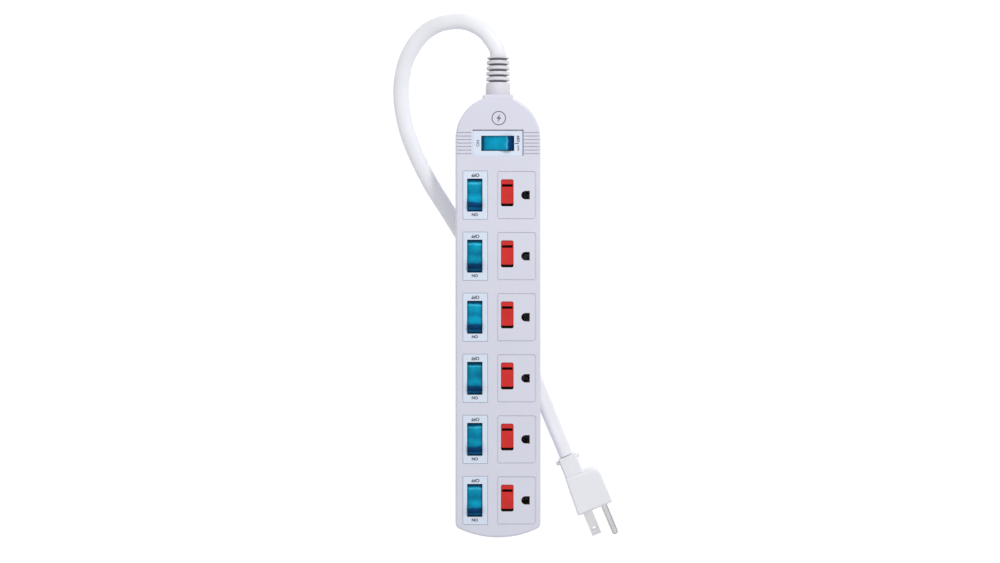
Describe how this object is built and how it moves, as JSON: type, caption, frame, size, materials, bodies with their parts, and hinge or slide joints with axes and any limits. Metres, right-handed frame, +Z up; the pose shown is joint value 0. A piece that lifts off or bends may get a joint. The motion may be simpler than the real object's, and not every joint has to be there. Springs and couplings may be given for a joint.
{
  "type": "power strip",
  "caption": "White power strip with a master switch, blue rocker switches, red sliding outlet shutters, ribbed strain relief, looped flat cord and three-pin plug.",
  "frame": {"origin": "on the surface the strip stands on, under the middle of the housing", "axes": "+X across the face from the rocker switches to the ground holes, +Y along the strip to the cord end, +Z up out of the face"},
  "size_m": [0.1514, 0.3483, 0.0424],
  "materials": {
    "casing_plastic": "satin",
    "panel_plastic": "satin",
    "rocker_plastic": "gloss",
    "shutter_plastic": "satin",
    "relief_rubber": "satin",
    "cord_rubber": "satin",
    "plug_rubber": "satin",
    "blade_metal": "polished",
    "screw_steel": "satin",
    "foot_rubber": "matte",
    "carrier_plastic": "matte",
    "contact_brass": "satin",
    "spring_steel": "satin",
    "lamp_glass": "gloss",
    "wire_black": "satin",
    "board_plastic": "matte",
    "varistor_coat": "gloss"
  },
  "bodies": {
    "housing": {"top_shell": "casing_plastic", "bottom_shell": "casing_plastic", "casing_screws": "screw_steel", "rubber_feet": "foot_rubber", "foot_screws": "screw_steel", "strain_relief": "relief_rubber", "main_switch_body": "panel_plastic", "main_terminals": "contact_brass", "main_bimetal": "spring_steel", "switch_body_1": "panel_plastic", "switch_body_2": "panel_plastic", "switch_body_3": "panel_plastic", "switch_body_4": "panel_plastic", "switch_body_5": "panel_plastic", "switch_body_6": "panel_plastic", "contact_carrier": "carrier_plastic", "switch_terminals": "contact_brass", "lamps": "lamp_glass", "line_bus": "contact_brass", "neutral_bus": "contact_brass", "ground_bus": "contact_brass", "line_contacts": "contact_brass", "line_jumpers": "wire_black", "surge_board": "board_plastic", "varistors": "varistor_coat", "thermal_fuse": "spring_steel", "cord_wires": "wire_black", "main_feed_wire": "wire_black", "power_cord": "cord_rubber", "plug_body": "plug_rubber", "plug_blades": "blade_metal", "plug_ground_pin": "blade_metal"},
    "rocker_1": {"rocker_1": "rocker_plastic", "spring_plunger_1": "spring_steel"},
    "contact_arm_1": {"contact_arm_1": "contact_brass"},
    "shutter_1": {"shutter_1": "shutter_plastic"},
    "rocker_2": {"rocker_2": "rocker_plastic", "spring_plunger_2": "spring_steel"},
    "contact_arm_2": {"contact_arm_2": "contact_brass"},
    "shutter_2": {"shutter_2": "shutter_plastic"},
    "rocker_3": {"rocker_3": "rocker_plastic", "spring_plunger_3": "spring_steel"},
    "contact_arm_3": {"contact_arm_3": "contact_brass"},
    "shutter_3": {"shutter_3": "shutter_plastic"},
    "rocker_4": {"rocker_4": "rocker_plastic", "spring_plunger_4": "spring_steel"},
    "contact_arm_4": {"contact_arm_4": "contact_brass"},
    "shutter_4": {"shutter_4": "shutter_plastic"},
    "rocker_5": {"rocker_5": "rocker_plastic", "spring_plunger_5": "spring_steel"},
    "contact_arm_5": {"contact_arm_5": "contact_brass"},
    "shutter_5": {"shutter_5": "shutter_plastic"},
    "rocker_6": {"rocker_6": "rocker_plastic", "spring_plunger_6": "spring_steel"},
    "contact_arm_6": {"contact_arm_6": "contact_brass"},
    "shutter_6": {"shutter_6": "shutter_plastic"},
    "main_rocker": {"main_rocker": "rocker_plastic", "main_spring_plunger": "spring_steel"},
    "main_contact_arm": {"main_contact_arm": "contact_brass"}
  },
  "joints": [
    {"name": "rocker_1_tilt", "type": "hinge", "parent": "housing", "child": "rocker_1", "pos_m": [-0.0152, 0.0792, 0.0355], "axis": [1, 0, 0], "range_deg": [0, 22]},
    {"name": "contact_arm_1_tilt", "type": "hinge", "parent": "housing", "child": "contact_arm_1", "pos_m": [-0.0152, 0.0792, 0.028], "axis": [1, 0, 0], "range_deg": [-16.5, 0]},
    {"name": "shutter_1_slide", "type": "slide", "parent": "housing", "child": "shutter_1", "axis": [0, -1, 0], "range_m": [0, 0.0018]},
    {"name": "rocker_2_tilt", "type": "hinge", "parent": "housing", "child": "rocker_2", "pos_m": [-0.0152, 0.0392, 0.0355], "axis": [1, 0, 0], "range_deg": [0, 22]},
    {"name": "contact_arm_2_tilt", "type": "hinge", "parent": "housing", "child": "contact_arm_2", "pos_m": [-0.0152, 0.0392, 0.028], "axis": [1, 0, 0], "range_deg": [-16.5, 0]},
    {"name": "shutter_2_slide", "type": "slide", "parent": "housing", "child": "shutter_2", "axis": [0, -1, 0], "range_m": [0, 0.0018]},
    {"name": "rocker_3_tilt", "type": "hinge", "parent": "housing", "child": "rocker_3", "pos_m": [-0.0152, -0.0008, 0.0355], "axis": [1, 0, 0], "range_deg": [0, 22]},
    {"name": "contact_arm_3_tilt", "type": "hinge", "parent": "housing", "child": "contact_arm_3", "pos_m": [-0.0152, -0.0008, 0.028], "axis": [1, 0, 0], "range_deg": [-16.5, 0]},
    {"name": "shutter_3_slide", "type": "slide", "parent": "housing", "child": "shutter_3", "axis": [0, -1, 0], "range_m": [0, 0.0018]},
    {"name": "rocker_4_tilt", "type": "hinge", "parent": "housing", "child": "rocker_4", "pos_m": [-0.0152, -0.0408, 0.0355], "axis": [1, 0, 0], "range_deg": [0, 22]},
    {"name": "contact_arm_4_tilt", "type": "hinge", "parent": "housing", "child": "contact_arm_4", "pos_m": [-0.0152, -0.0408, 0.028], "axis": [1, 0, 0], "range_deg": [-16.5, 0]},
    {"name": "shutter_4_slide", "type": "slide", "parent": "housing", "child": "shutter_4", "axis": [0, -1, 0], "range_m": [0, 0.0018]},
    {"name": "rocker_5_tilt", "type": "hinge", "parent": "housing", "child": "rocker_5", "pos_m": [-0.0152, -0.0808, 0.0355], "axis": [1, 0, 0], "range_deg": [0, 22]},
    {"name": "contact_arm_5_tilt", "type": "hinge", "parent": "housing", "child": "contact_arm_5", "pos_m": [-0.0152, -0.0808, 0.028], "axis": [1, 0, 0], "range_deg": [-16.5, 0]},
    {"name": "shutter_5_slide", "type": "slide", "parent": "housing", "child": "shutter_5", "axis": [0, -1, 0], "range_m": [0, 0.0018]},
    {"name": "rocker_6_tilt", "type": "hinge", "parent": "housing", "child": "rocker_6", "pos_m": [-0.0152, -0.1208, 0.0355], "axis": [1, 0, 0], "range_deg": [0, 22]},
    {"name": "contact_arm_6_tilt", "type": "hinge", "parent": "housing", "child": "contact_arm_6", "pos_m": [-0.0152, -0.1208, 0.028], "axis": [1, 0, 0], "range_deg": [-16.5, 0]},
    {"name": "shutter_6_slide", "type": "slide", "parent": "housing", "child": "shutter_6", "axis": [0, -1, 0], "range_m": [0, 0.0018]},
    {"name": "main_rocker_tilt", "type": "hinge", "parent": "housing", "child": "main_rocker", "pos_m": [-0.0002, 0.1132, 0.0345], "axis": [0, 1, 0], "range_deg": [0, 22]},
    {"name": "main_contact_arm_tilt", "type": "hinge", "parent": "housing", "child": "main_contact_arm", "pos_m": [-0.0002, 0.1132, 0.027], "axis": [0, 1, 0], "range_deg": [-16.5, 0]}
  ],
  "couplings": [
    {"joint": "contact_arm_1_tilt", "follows": "rocker_1_tilt", "ratio": -0.75},
    {"joint": "contact_arm_2_tilt", "follows": "rocker_2_tilt", "ratio": -0.75},
    {"joint": "contact_arm_3_tilt", "follows": "rocker_3_tilt", "ratio": -0.75},
    {"joint": "contact_arm_4_tilt", "follows": "rocker_4_tilt", "ratio": -0.75},
    {"joint": "contact_arm_5_tilt", "follows": "rocker_5_tilt", "ratio": -0.75},
    {"joint": "contact_arm_6_tilt", "follows": "rocker_6_tilt", "ratio": -0.75},
    {"joint": "main_contact_arm_tilt", "follows": "main_rocker_tilt", "ratio": -0.75}
  ]
}
